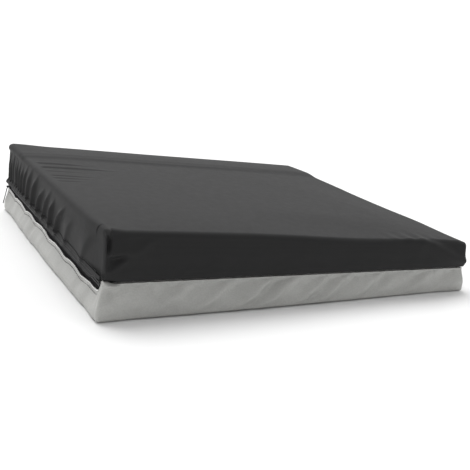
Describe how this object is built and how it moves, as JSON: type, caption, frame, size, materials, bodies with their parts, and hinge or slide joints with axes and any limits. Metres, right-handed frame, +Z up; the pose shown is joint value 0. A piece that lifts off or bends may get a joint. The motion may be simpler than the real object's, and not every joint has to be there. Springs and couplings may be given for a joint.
{
  "type": "pressure relief mattress",
  "caption": "Foam mattress section with a sloping lying surface, dark stretch cover, grey coated base cover and a side zip under a fabric flap.",
  "frame": {"origin": "centre of the base cover's underside", "axes": "+Z up; X across the slope, thick end at -X, where the zip is; -Y is the front long side"},
  "size_m": [0.8123, 0.74, 0.157],
  "materials": {
    "cover_fabric": "matt stretch knit with a thin coating",
    "band_fabric": "matt woven",
    "base_fabric": "matt coated weave",
    "rim_fabric": "matt coated binding",
    "zip_fabric": "matt woven tape",
    "thread": "twisted thread",
    "zip_plastic": "moulded",
    "zip_metal": "satin black paint",
    "sleeve_knit": "open white knit",
    "firm_foam": "open-cell foam, firm",
    "core_foam": "open-cell foam, medium",
    "insert_foam": "open-cell foam, soft and slow"
  },
  "bodies": {
    "mattress": {"top_cover": "cover_fabric", "seam_band": "band_fabric", "base_cover": "base_fabric", "zip_tape_lower": "zip_fabric", "zip_tape_upper": "zip_fabric", "zip_teeth_upper": "zip_plastic", "zip_teeth_lower": "zip_plastic", "zip_stop_near": "zip_plastic", "zip_stop_far": "zip_plastic", "base_rim_piping": "rim_fabric", "rim_thread": "thread", "flap_thread": "thread", "fire_sleeve": "sleeve_knit", "side_wall_front": "firm_foam", "side_wall_back": "firm_foam", "side_wall_left": "firm_foam", "side_wall_right": "firm_foam", "foam_core": "core_foam", "castellated_insert": "insert_foam"},
    "flap": {"zip_flap": "cover_fabric"},
    "slider": {"zip_slider": "zip_metal"},
    "pull": {"zip_pull": "zip_metal"}
  },
  "joints": [
    {"name": "flap_lift", "type": "hinge", "parent": "mattress", "child": "flap", "pos_m": [-0.4011, 0, 0.0796], "axis": [0, 1, 0], "range_deg": [0, 120]},
    {"name": "zip_slide", "type": "slide", "parent": "mattress", "child": "slider", "axis": [0, -1, 0], "range_m": [0, 0.6942]},
    {"name": "pull_swing", "type": "hinge", "parent": "slider", "child": "pull", "pos_m": [-0.402, 0.3523, 0.06], "axis": [0, 1, 0], "range_deg": [-6, 60]}
  ]
}
